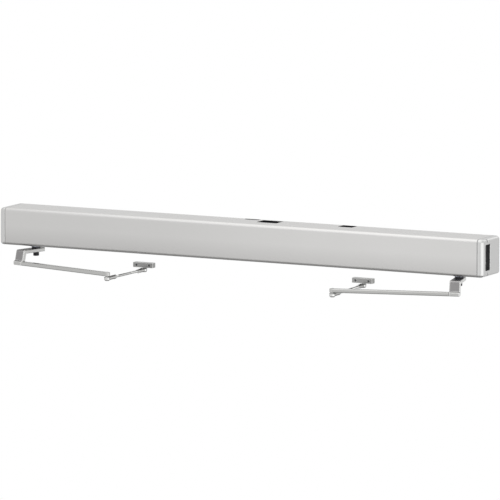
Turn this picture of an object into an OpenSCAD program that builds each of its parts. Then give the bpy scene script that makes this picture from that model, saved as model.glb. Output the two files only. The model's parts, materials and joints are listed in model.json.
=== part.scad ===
// Automatic swing door operator for a pair of doors: one long header box
// with a drive unit, a closing spring and a gooseneck arm at each end.
// Origin: middle of the header's wall face. X runs along the header,
// -Y points away from the wall, Z points up. Millimetres.

/* [Header] */
// Length of the header, end cap to end cap
header_l = 2184; // [2000:2:2400]
// Height of the header
header_h = 152; // [150:1:160]
// Depth of the header, from the wall to its front face
header_d = 152; // [150:1:160]
// Thickness of the aluminium extrusions
wall = 3; // [2.5:0.1:3.5]
// Radius along the top front edge
edge_r = 15; // [10:1:16]
// Radius along the bottom front edge
lower_r = 12; // [10:1:16]
// Length of each end cap along the header
cap_l = 25; // [22:1:30]
// Radius around the outer end of each end cap
end_r = 16; // [12:1:18]

/* [Arms] */
// Distance of each output spindle from the end of the header
spindle_inset = 134; // [130:1:150]
// Distance of each output spindle from the wall
spindle_y = 86; // [84:1:88]
// Angle of the main arm to the header with the door shut
arm_angle = 15; // [10:1:20]
// Distance from the spindle to the elbow, along the main arm
arm_reach = 493; // [420:1:520]
// Distance from the spindle to the main arm's centre line
arm_offset = 100; // [98:1:106]
// Width of the gooseneck plate
neck_w = 44; // [40:1:50]
// Thickness of the gooseneck plate
neck_t = 15; // [13:1:16]
// Width of the main arm bar
bar_w = 24; // [20:1:26]
// Height of the main arm bar
bar_h = 16; // [14:1:17]
// Distance from the spindle to the door shoe's pivot along the header
shoe_reach = 461; // [440:1:480]
// Diameter of the forearm rod
rod_d = 10; // [8:1:12]
// Length of the door shoe
shoe_l = 90; // [80:1:100]
// Distance between the door shoe's two screws
shoe_pitch = 58; // [50:1:64]

/* [Drive] */
// Teeth of the output gear on the spindle
output_teeth = 40; // [40]
// Teeth of the pinion on the intermediate shaft
cluster_small_teeth = 12; // [12]
// Teeth of the large gear on the intermediate shaft
cluster_large_teeth = 48; // [48]
// Teeth of the motor pinion
motor_teeth = 12; // [12]
// Teeth of the pinion that pulls the closing spring's rack
closer_teeth = 16; // [16]
// Turns of the closing spring
spring_turns = 13; // [10:1:15]
// Wire diameter of the closing spring
spring_wire = 5; // [4:0.5:6]

/* [Switches] */
// Width of the switch opening in the right end cap
switch_w = 44; // [40:1:48]
// Height of the switch opening in the right end cap
switch_h = 104; // [90:1:106]
// Depth of the switch recess
switch_depth = 15; // [14:1:16]

/* [Hidden] */

$fn = 64;
eps = 0.01;

// Header outline
half_l = header_l / 2;
half_h = header_h / 2;
seam = 0.4;
body_l = header_l - 2 * cap_l;
channel_t = 5;
flange_t = 2.7;
lip_gap = 0.3;
top_flange_d = 90;
bottom_seam_y = -118;
arc_steps = 12;

// Rib inside the channel that carries the wiring
rib_t = 3;
loom_r = 3.5;
loom_y = -channel_t - rib_t - loom_r;
loom_z = 62;
lead_r = 3;

// Holes through the channel for the wall screws
wall_hole_d = 7;
wall_hole_x = [-1048, -640, -305, 305, 640, 1048];
wall_hole_z = 50;

// Cable openings in the top: centre x, length, front y and back y
middle_opening = [-2.5, 65, -22, -2];
large_opening = [93, 90, -77, -12];
right_opening = [433, 64, -52, -2];

// Colours
silver = [0.80, 0.80, 0.79];
cast_grey = [0.62, 0.63, 0.65];
steel = [0.58, 0.57, 0.56];
dark_steel = [0.25, 0.25, 0.26];
black = [0.06, 0.06, 0.07];
green = [0.07, 0.32, 0.18];

// Levels of the gears
output_z = -57;
cluster_large_z = -34;

// Spindle and gear train, seen in the frame of one drive unit: the spindle
// stands at x = 0 and x grows towards the middle of the header
spindle_x = half_l - spindle_inset;
pressure_angle = 25;
tooth_gap = 0.12;
drive_m = 2.5;
motor_m = 1.5;
output_r = drive_m * output_teeth / 2;
small_r = drive_m * cluster_small_teeth / 2;
large_r = motor_m * cluster_large_teeth / 2;
motor_r = motor_m * motor_teeth / 2;
closer_r = drive_m * closer_teeth / 2;
cluster_x = output_r + small_r;
motor_side = 45;
motor_x = cluster_x + (large_r + motor_r) * cos(motor_side);
motor_y = -spindle_y + (large_r + motor_r) * sin(motor_side);
journal_r = 10;
run_gap = 0.05;

// Gear case of a drive unit
case_x0 = -58;
case_x1 = 150;
case_y0 = -144.5;
case_y1 = -15;
case_bottom = -half_h + 10;
case_top = 0;
case_wall = 5;
floor_t = 6;
ear_w = 18;
collar_r = 24;
collar_drop = 7;
lid_t = 6;
bearing_r = 21;
bearing_t = 12;
screw_z = [-55, -18];

// Rack, spring and tube
rack_z0 = 20;
rack_z1 = 40;
tube_y = -118;
tube_z = 30;
tube_r = 22;
tube_bore_r = 19.5;
tube_x0 = 38;
tube_x1 = 250;
piston_x = 44;
piston_t = 8;
spring_r = 14;
rack_x0 = -54;
rack_end = 16;
rack_back = 13;
rod_r = 7;
rack_guide_y = -spindle_y - closer_r - rack_back;

// Arm levels
plate_top = -half_h - 14;
plate_bottom = plate_top - neck_t;
bar_top = -half_h - 58.5;
bar_bottom = bar_top - bar_h;
pivot_z = bar_bottom - 9.5;
neck_back = 35;
neck_soft_r = 3;
arm_screw_d = 24;
arm_screw_h = 17;
bar_soft_r = 5;
leg_front = 95;
leg_lean = 10;
square_w = 20;
ball_r = 8;
stud_r = 5;
socket_r = 11.5;
socket_bottom = pivot_z - 9;
shank_r = 8;
elbow_shank_l = 58;
shoe_shank_l = 46;
rod_into_shoe = 24;
bore_start = 10;
stud_neck_r = 4;
shoe_d = 26;
shoe_h = 20;
shoe_top = -half_h - 54;
shoe_bottom = shoe_top - shoe_h;

// Switches
switch_y = -105;
switch_z = 1;
switch_pan_t = 2.5;
rocker_w = 20;
rocker_h = 32;
rocker_z = [-30, 10];
rocker_tilt = 8;
rocker_axis = half_l - switch_depth - 2;
rocker_pin_r = 1.5;

// Places of the control parts
board_x0 = -200;
board_x1 = 60;
supply_x0 = 130;
supply_x1 = 290;
terminal_x0 = 320;
terminal_x1 = 392;
plug_l = 16;
plug_y = -31;
plug_z = [2, -18, -38];

// Points of an arc from angle a0 to a1 about (cx, cy)
function arc(cx, cy, r, a0, a1, n = arc_steps) =
    [for (i = [0:n]) [cx + r * cos(a0 + (a1 - a0) * i / n), cy + r * sin(a0 + (a1 - a0) * i / n)]];

// Rectangle from (x0, y0) to (x1, y1) with round corners, as points
function round_rect(x0, y0, x1, y1, r, n = 5) = concat(
    arc(x1 - r, y1 - r, r, 0, 90, n), arc(x0 + r, y1 - r, r, 90, 180, n),
    arc(x0 + r, y0 + r, r, 180, 270, n), arc(x1 - r, y0 + r, r, 270, 360, n));

// Extrudes a (Y, Z) outline along X
module along_x(x0, x1) {
    translate([x0, 0, 0]) rotate([90, 0, 90]) linear_extrude(x1 - x0) children();
}

// Box given by its two corners
module block(a, b) {
    translate(a) cube([b[0] - a[0], b[1] - a[1], b[2] - a[2]]);
}

// Drive units: the left one as drawn, the right one mirrored
module at_left() {
    translate([-spindle_x, -spindle_y, 0]) children();
}
module at_right() {
    mirror([1, 0, 0]) at_left() children();
}

// The unit frame with y measured from the wall again
module from_wall() {
    translate([0, spindle_y, 0]) children();
}

// Arm frame: x along the main arm, -y towards the viewer
module arm_frame() {
    rotate(-arm_angle) children();
}

// The elbow and the shoe pivot in the unit frame
elbow = [
    arm_reach * cos(arm_angle) - arm_offset * sin(arm_angle),
    -arm_reach * sin(arm_angle) - arm_offset * cos(arm_angle)
];
shoe_pivot = [shoe_reach, spindle_y - shoe_d / 2];
forearm_l = norm(shoe_pivot - elbow);
forearm_lean = atan2(shoe_pivot[0] - elbow[0], shoe_pivot[1] - elbow[1]);

// Forearm frame: origin at the elbow, x along the forearm to the shoe
module forearm_frame() {
    translate([elbow[0], elbow[1], 0]) rotate(90 - forearm_lean) children();
}
module at_shoe() {
    translate([shoe_pivot[0], shoe_pivot[1], 0]) children();
}

// Outline of the header's front: top, front and bottom as one line
function shell_line(inset, back_top, back_bottom) = concat(
    [[back_top, half_h - inset]],
    arc(-header_d + edge_r, half_h - edge_r, edge_r - inset, 90, 180),
    arc(-header_d + lower_r, -half_h + lower_r, lower_r - inset, 180, 270),
    [[back_bottom, -half_h + inset]]);
function reversed(list) = [for (i = [len(list) - 1:-1:0]) list[i]];

// Involute spur gear, axis on Z, a tooth centred on +X when phase is 0
function inv_deg(a) = tan(a) * 180 / PI - a;
function flank(m, teeth, r) =
    90 / teeth - tooth_gap / 2 / (m * teeth / 2) * 180 / PI / 2 + inv_deg(pressure_angle)
    - inv_deg(acos(min(1, m * teeth / 2 * cos(pressure_angle) / r)));
function gear_points(m, teeth, phase) =
    let (pitch = m * teeth / 2, base = pitch * cos(pressure_angle), root = pitch - 1.25 * m,
         tip = pitch + m * 0.97, start = max(base, root + eps), steps = 4,
         radii = [for (i = [0:steps]) start + (tip - start) * i / steps])
    [for (k = [0:teeth - 1]) let (mid = phase + 360 * k / teeth)
        each concat(
            [polar(root, mid - flank(m, teeth, start))],
            [for (r = radii) polar(r, mid - flank(m, teeth, r))],
            [for (r = reversed(radii)) polar(r, mid + flank(m, teeth, r))],
            [polar(root, mid + flank(m, teeth, start))])];
function polar(r, a) = [r * cos(a), r * sin(a)];

module gear(m, teeth, h, phase = 0) {
    linear_extrude(h) polygon(gear_points(m, teeth, phase));
}

// Tube swept along a list of points with `sides` sides
function unit(v) = v / norm(v);
function tangent(path, i) =
    unit(path[min(i + 1, len(path) - 1)] - path[max(i - 1, 0)]);
function ring(path, i, r, up, sides) =
    let (t = tangent(path, i), s = unit(cross(t, up)), u = cross(s, t))
    [for (k = [0:sides - 1]) path[i] + r * (cos(360 * k / sides) * s + sin(360 * k / sides) * u)];
module sweep(path, r, up, sides) {
    n = len(path);
    polyhedron(
        points = [for (i = [0:n - 1]) each ring(path, i, r, up, sides)],
        faces = concat(
            [[for (k = [0:sides - 1]) k]],
            [[for (k = [sides - 1:-1:0]) (n - 1) * sides + k]],
            [for (i = [0:n - 2], k = [0:sides - 1])
                [i * sides + k, (i + 1) * sides + k, (i + 1) * sides + (k + 1) % sides]],
            [for (i = [0:n - 2], k = [0:sides - 1])
                [i * sides + k, (i + 1) * sides + (k + 1) % sides, i * sides + (k + 1) % sides]]));
}

// Outline with every edge moved inwards by d, for points that run anticlockwise
function shrunk(p, d) = [for (i = [0:len(p) - 1])
    let (n = len(p), u = unit(p[i] - p[(i + n - 1) % n]), v = unit(p[(i + 1) % n] - p[i]))
    p[i] + d / (1 + u * v) * [-u[1] - v[1], u[0] + v[0]]];

// Slab of width w across X with a (Y, Z) outline, its edges rounded by r. Each
// of `parts` lists the outline's points round one part of it, starting at a
// point that sees the whole part
module soft_slab(p, w, r, parts) {
    steps = 3;
    n = len(p);
    half = [for (k = [0:steps]) [w / 2 - r + r * cos(90 * k / steps), r - r * sin(90 * k / steps)]];
    rings = concat([for (k = half) [-k[0], k[1]]], reversed(half));
    last = len(rings) - 1;
    sides = [for (f = parts, i = [1:len(f) - 2]) [f[0], f[i], f[i + 1]]];
    polyhedron(
        points = [for (k = rings, q = shrunk(p, k[1])) [k[0], q[0], q[1]]],
        faces = concat(
            [for (j = [0:last - 1], i = [0:n - 1])
                [j * n + i, (j + 1) * n + i, (j + 1) * n + (i + 1) % n]],
            [for (j = [0:last - 1], i = [0:n - 1])
                [j * n + i, (j + 1) * n + (i + 1) % n, j * n + (i + 1) % n]],
            sides,
            [for (t = sides) [last * n + t[0], last * n + t[2], last * n + t[1]]]));
}

// Header shell

module back_channel() {
    color(silver) difference() {
        along_x(-body_l / 2, body_l / 2) channel_outline();
        for (x = wall_hole_x, z = [-wall_hole_z, wall_hole_z])
            translate([x, -channel_t - eps, z])
                rotate([-90, 0, 0]) cylinder(d = wall_hole_d, h = channel_t + 1);
        for (side = [-1, 1]) {
            translate([side * spindle_x, -spindle_y, -half_h - 1])
                cylinder(r = collar_r + 1, h = wall + 2);
            for (x = [case_x0 - ear_w / 2, case_x1 + ear_w / 2], z = screw_z)
                translate([side * (spindle_x - x), -channel_t - eps, z])
                    rotate([-90, 0, 0]) cylinder(d = 8, h = channel_t - 1);
        }
        for (opening = [middle_opening, large_opening, right_opening])
            opening_cut(opening, 0);
    }
}

// Back wall, top flange under the cover and the bottom plate with the
// two ribs that hold the front cover's lips
module channel_outline() {
    top = half_h - wall - lip_gap;
    square_yz(-channel_t, 0, -half_h, top);
    square_yz(-top_flange_d, -eps, top - flange_t, top);
    square_yz(bottom_seam_y, -eps, -half_h, -half_h + wall);
    square_yz(bottom_seam_y, bottom_seam_y + 3, -half_h + eps, -half_h + 9);
    square_yz(-top_flange_d, -top_flange_d + 3, top - 10, top - eps);
    square_yz(-channel_t - rib_t, -channel_t + eps, loom_z - 1.5, loom_z + 1.5);
}
module square_yz(y0, y1, z0, z1) {
    translate([y0, z0]) square([y1 - y0, z1 - z0]);
}

// Cuts one cable opening straight down through the top
module opening_cut(opening, grow) {
    block([opening[0] - opening[1] / 2 - grow, opening[2] - grow, half_h - 14],
          [opening[0] + opening[1] / 2 + grow, opening[3] + grow, half_h + 1]);
}

module front_cover() {
    outer = shell_line(0, -0.5, bottom_seam_y - lip_gap);
    inner = shell_line(wall, -0.5, bottom_seam_y - lip_gap);
    color(silver) difference() {
        union() {
            along_x(-body_l / 2, body_l / 2) polygon(concat(outer, reversed(inner)));
            along_x(-body_l / 2, body_l / 2)
                square_yz(-top_flange_d - 3.5, -top_flange_d - 0.5, half_h - wall - 5, half_h - wall + eps);
            along_x(-body_l / 2, body_l / 2)
                square_yz(bottom_seam_y - 4, bottom_seam_y - 1, -half_h + wall - eps, -half_h + 8);
        }
        for (opening = [middle_opening, large_opening, right_opening])
            opening_cut(opening, 0);
    }
}

// Outer form of a cap at the right-hand end, shrunk by `inset` on its closed
// sides: the header's section, the flat end and two rounded corners
module cap_form(inset, start) {
    intersection() {
        hull() {
            along_x(start, half_l - end_r) polygon(shell_line(inset, -inset, -inset));
            block([half_l - end_r, -header_d + edge_r, -half_h + lower_r],
                  [half_l - inset, -inset, half_h - edge_r]);
            for (corner = [[edge_r, 1], [lower_r, -1]]) {
                r = corner[0];
                translate([half_l - end_r, -header_d + r, corner[1] * (half_h - r)])
                    scale([end_r - inset, r - inset, r - inset]) sphere(r = 1, $fn = 32);
                translate([half_l - end_r, -inset, corner[1] * (half_h - r)])
                    scale([end_r - inset, 1, r - inset])
                        rotate([90, 0, 0]) cylinder(r = 1, h = 0.1, $fn = 32);
            }
        }
        block([start, -header_d - 1, -half_h - 1], [half_l + 1, 1, half_h + 1]);
    }
}

// Cap with two tongues that slide under the channel's flanges, and the
// slots through which it is released
module end_cap() {
    start = body_l / 2 + seam;
    slot_y = -106;
    slot_w = 5;
    tongue_l = 26;
    tongue_t = 5;
    flange_z = half_h - wall - lip_gap - flange_t;
    color(silver) difference() {
        union() {
            difference() {
                cap_form(0, start);
                cap_form(wall, start - 1);
            }
            block([start - tongue_l, -34, flange_z - tongue_t], [start + 8, -12, flange_z]);
            block([start + 2, -34, flange_z - tongue_t], [start + 8, -12, half_h - wall + eps]);
            block([start - tongue_l, -34, wall - half_h], [start + 8, -12, wall - half_h + tongue_t]);
            block([start + 2, -34, wall - half_h - eps], [start + 8, -12, wall - half_h + tongue_t]);
        }
        for (s = [-1, 1])
            translate([half_l - end_r, slot_y - slot_w / 2, s > 0 ? half_h - edge_r : -half_h - 1])
                cube([end_r + 1, slot_w, edge_r + 1]);
    }
}

module left_end_cap() {
    mirror([1, 0, 0]) end_cap();
}

module right_end_cap() {
    color(silver) difference() {
        end_cap();
        along_x(half_l - 8, half_l + 1) switch_outline(0);
    }
}

// Outline of the switch opening, grown by `grow`
module switch_outline(grow) {
    polygon(round_rect(switch_y - switch_w / 2 - grow, switch_z - switch_h / 2 - grow,
        switch_y + switch_w / 2 + grow, switch_z + switch_h / 2 + grow, 5 + grow));
}

// Rubber grommet in a cable opening: a plug with a lip below the flange
module grommet(opening) {
    top = half_h - wall - lip_gap;
    x0 = opening[0] - opening[1] / 2;
    x1 = opening[0] + opening[1] / 2;
    middle_y = (opening[2] + opening[3]) / 2;
    slits = floor(opening[1] / 20);
    color(black) difference() {
        union() {
            block([x0, opening[2], top - flange_t - 3], [x1, opening[3], top]);
            block([x0 - 3, opening[2] - 3, top - flange_t - 3],
                  [x1 + 3, min(opening[3] + 3, -channel_t), top - flange_t]);
        }
        for (i = [1:slits])
            translate([x0 + opening[1] * i / (slits + 1), middle_y, top - 4]) cylinder(r = 4, h = 5);
        block([x0 + 4, middle_y - 0.5, top - 1.5], [x1 - 4, middle_y + 0.5, top + 1]);
    }
}
module middle_grommet() grommet(middle_opening);
module large_grommet() grommet(large_opening);
module right_grommet() grommet(right_opening);

// Switches in the right end cap

module switch_housing() {
    face = half_l - wall;
    color(black) difference() {
        union() {
            along_x(half_l - switch_depth - switch_pan_t, face) switch_outline(2);
            along_x(face - 2, face) switch_outline(4);
        }
        along_x(half_l - switch_depth, face + 1) switch_outline(0);
        for (z = rocker_z)
            block([half_l - switch_depth - switch_pan_t - 1,
                   switch_y - rocker_w / 2 - 2, z - rocker_h / 2 - 2],
                  [half_l, switch_y + rocker_w / 2 + 2, z + rocker_h / 2 + 2]);
    }
}

// Two rocker switch frames, each a box behind the panel with a rim in front
module switch_frames() {
    floor_x = half_l - switch_depth;
    color(black) for (z = rocker_z) difference() {
        union() {
            block([floor_x - 20, switch_y - rocker_w / 2 - 2, z - rocker_h / 2 - 2],
                  [floor_x, switch_y + rocker_w / 2 + 2, z + rocker_h / 2 + 2]);
            block([floor_x, switch_y - rocker_w / 2 - 3.5, z - rocker_h / 2 - 3.5],
                  [floor_x + 2, switch_y + rocker_w / 2 + 3.5, z + rocker_h / 2 + 3.5]);
        }
        block([floor_x - 9, switch_y - rocker_w / 2 - 0.4, z - rocker_h / 2 - 0.4],
              [floor_x + 3, switch_y + rocker_w / 2 + 0.4, z + rocker_h / 2 + 0.4]);
        translate([rocker_axis, switch_y, z]) rotate([90, 0, 0])
            cylinder(r = rocker_pin_r + 0.2, h = rocker_w + 3.2, center = true);
    }
}

// Rocker key: two flats that meet in a shallow valley, with a pivot pin on
// either side
module rocker(z, tilt) {
    crown = 5.5;
    half = rocker_h / 2 - 0.8;
    translate([rocker_axis, switch_y, z]) rotate([0, tilt, 0]) rotate([90, 0, 0]) {
        translate([0, 0, -rocker_w / 2]) linear_extrude(rocker_w)
            polygon([[-4, -4], [0, -half], [crown + 0.6, -half], [crown - 1, -2],
                     [crown - 1, 2], [crown + 0.6, half], [0, half], [-4, 4]]);
        cylinder(r = rocker_pin_r, h = rocker_w + 2.8, center = true);
    }
}
module power_rocker() color(black) rocker(rocker_z[0], rocker_tilt);
module mode_rocker() color(black) rocker(rocker_z[1], 0);

// Controls in the middle of the header

// Folded sheet tray with two flanges, screwed to the channel's back wall
module control_tray() {
    color(cast_grey) difference() {
        union() {
            block([board_x0 - 14, -channel_t - 10, -58], [board_x1 + 14, -channel_t - 8, 58]);
            for (z = [-58, 56.5])
                block([board_x0 - 14, -channel_t - 30, z], [board_x1 + 14, -channel_t - 8, z + 1.5]);
            for (x = [board_x0 + 10, board_x1 - 22], z = [-44, 32])
                block([x, -channel_t - 8, z], [x + 12, -channel_t, z + 12]);
        }
        for (x = [board_x0 + 30:32:board_x1 - 30])
            block([x, -channel_t - 11, -4], [x + 16, -channel_t - 7, 4]);
    }
}

// Circuit board on four posts, with its relays, capacitors and plugs
module control_board() {
    face = -channel_t - 21.6;
    color(green) union() {
        block([board_x0, face, -50], [board_x1, face + 1.6, 50]);
        for (x = [board_x0 + 6, board_x1 - 6], z = [-44, 44])
            translate([x, face + 1, z]) rotate([-90, 0, 0]) cylinder(r = 3, h = 10.6);
        for (i = [0:3]) block([board_x0 + 16 + i * 22, face - 16, 18], [board_x0 + 32 + i * 22, face, 38]);
        for (i = [0:2])
            translate([board_x0 + 130 + i * 24, face, 26]) rotate([90, 0, 0]) cylinder(r = 9, h = 26);
        for (i = [0:8])
            block([board_x0 + 12 + i * 26, face - 11, -46], [board_x0 + 32 + i * 26, face, -34]);
        block([board_x0 + 60, face - 3, -16], [board_x0 + 84, face, 8]);
        heat_sink(board_x1 - 46, face);
        block([board_x0 + 14, face - 24, -22], [board_x0 + 46, face, 8]);
        for (i = [0:3])
            translate([board_x0 + 150 + i * 9, face, -16]) rotate([90, 0, 0]) cylinder(r = 2.5, h = 4);
        block([board_x0 + 104, face - 6, -18], [board_x0 + 134, face, -10]);
        block([board_x0 - plug_l, plug_y - 4.5, -6], [board_x0 + 4, face, 10]);
        for (z = plug_z) block([board_x1 - 4, plug_y - 4.5, z - 7], [board_x1 + plug_l, face, z + 7]);
    }
}
module heat_sink(x, face) {
    block([x, face - 4, -24], [x + 36, face, 44]);
    for (i = [0:6]) block([x + i * 5.6, face - 20, -24], [x + i * 5.6 + 2, face - 3.5, 44]);
}

// Sheet-metal power supply with vent slots and a row of screw terminals
module power_supply() {
    color(silver) difference() {
        union() {
            block([supply_x0, -channel_t - 46, -58], [supply_x1, -channel_t, 18]);
            block([supply_x0 + 8, -channel_t - 50, -58], [supply_x1 - 8, -channel_t - 40, -46]);
        }
        for (i = [0:13])
            block([supply_x0 + 12 + i * 10, -channel_t - 47, -30],
                  [supply_x0 + 17 + i * 10, -channel_t - 44, 8]);
        for (i = [0:8])
            translate([supply_x0 + 20 + i * 15, -channel_t - 51, -52])
                rotate([-90, 0, 0]) cylinder(r = 2.6, h = 6);
        block([supply_x0 + 3, -channel_t - 44, 14], [supply_x1 - 3, -channel_t - 3, 19]);
    }
}

// Row of mains terminals on a rail
module terminal_block() {
    color(cast_grey) union() {
        block([terminal_x0, -channel_t - 7, -40], [terminal_x1, -channel_t, -18]);
        for (i = [0:5]) difference() {
            block([terminal_x0 + 2 + i * 11.5, -channel_t - 34, -48],
                  [terminal_x0 + 12 + i * 11.5, -channel_t - 5, -10]);
            for (z = [-42, -16])
                translate([terminal_x0 + 7 + i * 11.5, -channel_t - 35, z])
                    rotate([-90, 0, 0]) cylinder(r = 2.5, h = 9);
        }
    }
}

// Wiring along the channel's back wall: a cable to each motor, a lead to
// the switches, and short leads at both ends of the power supply
loom_left = [
    [-851.2, loom_y, loom_z], [-700, loom_y, loom_z], [-450, loom_y, loom_z], [-262, loom_y, loom_z],
    [-246, -13, 60], [-236, -16, 52], [-231, -20, 40], [-229, -25, 26], [-229, -29, 13],
    [-226, -31, 5], [-221, plug_y, 2], [board_x0 - plug_l, plug_y, 2]];
loom_right = [
    [board_x1 + plug_l, plug_y, 2], [82, plug_y, 2], [89, -29, 6], [93, -25, 16], [97, -20, 32],
    [101, -16, 46], [107, -13, 57], [120, loom_y, loom_z], [300, loom_y, loom_z],
    [640, loom_y, loom_z], [851.2, loom_y, loom_z]];
switch_lead = [
    [board_x1 + plug_l, plug_y, -18], [84, plug_y, -18], [94, -28, -15], [102, -22, -6], [108, -15, 5],
    [114, -10.5, 15], [122, -9, 21], [136, -9, 22], [400, -9, 22], [700, -9, 22], [1016, -9, 22],
    [1030, -13, 22], [1038, -24, 21], [1040, -45, 19], [1040, -75, 15], [1041, -92, 12],
    [1046, -102, 10], [1051, switch_y, 10], [1057, switch_y, 10]];
supply_lead = [
    [board_x1 + plug_l, plug_y, -38], [86, plug_y, -38], [98, -33, -41], [110, -33, -41],
    [122, plug_y, -38], [supply_x0, plug_y, -38]];
mains_lead = [
    [supply_x1, -26, -30], [296, -26, -30], [305, -24, -32], [314, -26, -30], [terminal_x0 + 2, -26, -30]];
module wiring_loom() {
    upright = [0.01, 0.02, 1];
    color(black) {
        sweep(loom_left, loom_r, [0.01, 1, 0.02], 8);
        sweep(loom_right, loom_r, [0.01, 1, 0.02], 8);
        sweep(switch_lead, lead_r, upright, 8);
        sweep(supply_lead, lead_r, upright, 8);
        sweep(mains_lead, lead_r, upright, 8);
    }
}

// Eight socket screws that hold the gear cases to the channel
module drive_screws() {
    color(dark_steel) for (side = [-1, 1], x = [case_x0 - ear_w / 2, case_x1 + ear_w / 2], z = screw_z)
        translate([side * (spindle_x - x), 0, z]) difference() {
            union() {
                translate([0, case_y1 - 8, 0]) rotate([-90, 0, 0]) cylinder(d = 13, h = 8);
                translate([0, case_y1 - eps, 0]) rotate([-90, 0, 0]) cylinder(d = 8, h = -case_y1 - 1.5);
            }
            translate([0, case_y1 - 9, 0]) rotate([-90, 0, 0]) cylinder(d = 7, h = 5, $fn = 6);
        }
}

// Drive unit, in the unit frame

// Cast gear case: open box with a collar that carries the lower bearing
module gear_case() {
    color(cast_grey) from_wall() difference() {
        union() {
            block([case_x0, case_y0, case_bottom], [case_x1, case_y1 + eps, case_top]);
            block([case_x0 - ear_w, case_y1, case_bottom], [case_x1 + ear_w, -channel_t, case_top]);
            translate([0, -spindle_y, -half_h - collar_drop])
                cylinder(r = collar_r, h = case_bottom + half_h + collar_drop + 1);
            for (x = [case_x0 + 4, case_x1 - 24])
                block([x, bottom_seam_y + 10, -half_h + wall], [x + 20, case_y1, case_bottom + 1]);
            for (x = [case_x0 + 24, cluster_x, case_x1 - 24])
                block([x - 2, case_y0 - 2.5, case_bottom], [x + 2, case_y0 + 1, case_top - 8]);
        }
        block([case_x0 + case_wall, case_y0 + case_wall, case_bottom + floor_t],
              [case_x1 - case_wall, case_y1 - case_wall, case_top + 1]);
        translate([0, -spindle_y, -half_h - collar_drop - 1]) cylinder(r = journal_r + 6, h = 40);
        translate([0, -spindle_y, -half_h - collar_drop + 2]) cylinder(r = bearing_r, h = 40);
        translate([cluster_x, -spindle_y, case_bottom + 1.5]) cylinder(r = 5 + run_gap, h = 20);
        for (x = [case_x0 - ear_w / 2, case_x1 + ear_w / 2], z = screw_z)
            translate([x, case_y1 - 1, z]) rotate([-90, 0, 0]) cylinder(d = 8, h = 12);
    }
}

// Upper casting: lid, upper bearing boss, rack guide, tube saddles, motor seat
module upper_case() {
    color(cast_grey) from_wall() difference() {
        union() {
            block([case_x0, case_y0, case_top], [case_x1, case_y1, lid_t]);
            translate([0, -spindle_y, 1]) cylinder(r = bearing_r + 4, h = bearing_t + 2);
            block([rack_x0 - 4, rack_guide_y - 9, lid_t - 1],
                  [tube_x0, rack_guide_y - lip_gap, rack_z1 + 3]);
            block([rack_x0 - 4, rack_guide_y - 9, lid_t - 1],
                  [tube_x0, rack_guide_y + 12, rack_z0 - lip_gap]);
            for (x = [rack_x0 + 8, rack_x0 + 44, rack_x0 + 80])
                block([x - 2, case_y0 + 2, lid_t - 1], [x + 2, rack_guide_y - 8, tube_z]);
            for (x = [tube_x0 - 2, 132])
                block([x, tube_y - tube_r - 3, lid_t - 1], [x + 16, tube_y + tube_r + 3, tube_z + 8]);
            translate([motor_x, motor_y, lid_t - 1]) cylinder(r = 35, h = 3);
        }
        translate([0, -spindle_y, 1]) cylinder(r = bearing_r, h = 30);
        translate([0, -spindle_y, -1]) cylinder(r = journal_r + 6, h = 30);
        translate([cluster_x, -spindle_y, -1]) cylinder(r = 5 + run_gap, h = 6);
        translate([motor_x, motor_y, -1]) cylinder(r = 16, h = 20);
        translate([tube_x0, tube_y, tube_z]) rotate([0, 90, 0]) cylinder(r = tube_r, h = 140);
        translate([tube_x0 - 10, tube_y, tube_z]) rotate([0, 90, 0]) cylinder(r = tube_bore_r, h = 20);
        translate([rack_end - 3, tube_y, tube_z]) rotate([0, 90, 0]) cylinder(r = rod_r + 0.8, h = 40);
    }
}

// Steel tube of the closing spring with its end plug and adjusting nut
module spring_tube() {
    color(steel) from_wall() translate([0, tube_y, tube_z]) rotate([0, 90, 0]) {
        difference() {
            translate([0, 0, tube_x0]) cylinder(r = tube_r, h = tube_x1 - tube_x0);
            translate([0, 0, tube_x0 - 1]) cylinder(r = tube_bore_r, h = tube_x1 - tube_x0 - 9);
        }
        translate([0, 0, tube_x1 - eps]) cylinder(r = tube_r + 1.5, h = 6);
        translate([0, 0, tube_x1 + 5]) cylinder(d = 24, h = 10, $fn = 6);
    }
}

// Compression spring between the rack's piston and the tube's end plug
module closing_spring() {
    x0 = piston_x + piston_t + spring_wire / 2;
    x1 = tube_x1 - 10 - spring_wire / 2;
    per_turn = 10;
    steps = spring_turns * per_turn;
    color(dark_steel) from_wall() translate([0, tube_y, tube_z])
        sweep([for (i = [0:steps]) [x0 + (x1 - x0) * i / steps,
            spring_r * cos(360 * i / per_turn), spring_r * sin(360 * i / per_turn)]],
            spring_wire / 2 - 0.05, [1, 0, 0], 6);
}

// Rack with its piston: straight teeth that mesh with the closer pinion
module spring_rack() {
    pitch = PI * drive_m;
    half = pitch / 4 - tooth_gap / 4;
    slope = tan(pressure_angle);
    up = drive_m * 0.97;
    down = drive_m * 1.25;
    color(steel) from_wall() {
        translate([0, -spindle_y - closer_r, rack_z0]) linear_extrude(rack_z1 - rack_z0) polygon(concat(
            [[rack_x0, -rack_back], [rack_end, -rack_back], [rack_end, -down]],
            [for (k = [1:-1:-6]) let (x = (k + 0.5) * pitch) each [
                [x + half + down * slope, -down], [x + half - up * slope, up],
                [x - half + up * slope, up], [x - half - down * slope, -down]]],
            [[rack_x0, -down]]));
        translate([rack_end - 0.1, tube_y, tube_z]) rotate([0, 90, 0])
            cylinder(r = rod_r, h = piston_x + 1 - rack_end);
        translate([piston_x, tube_y, tube_z]) rotate([0, 90, 0])
            cylinder(r = tube_bore_r - 0.3, h = piston_t);
    }
}

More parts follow.
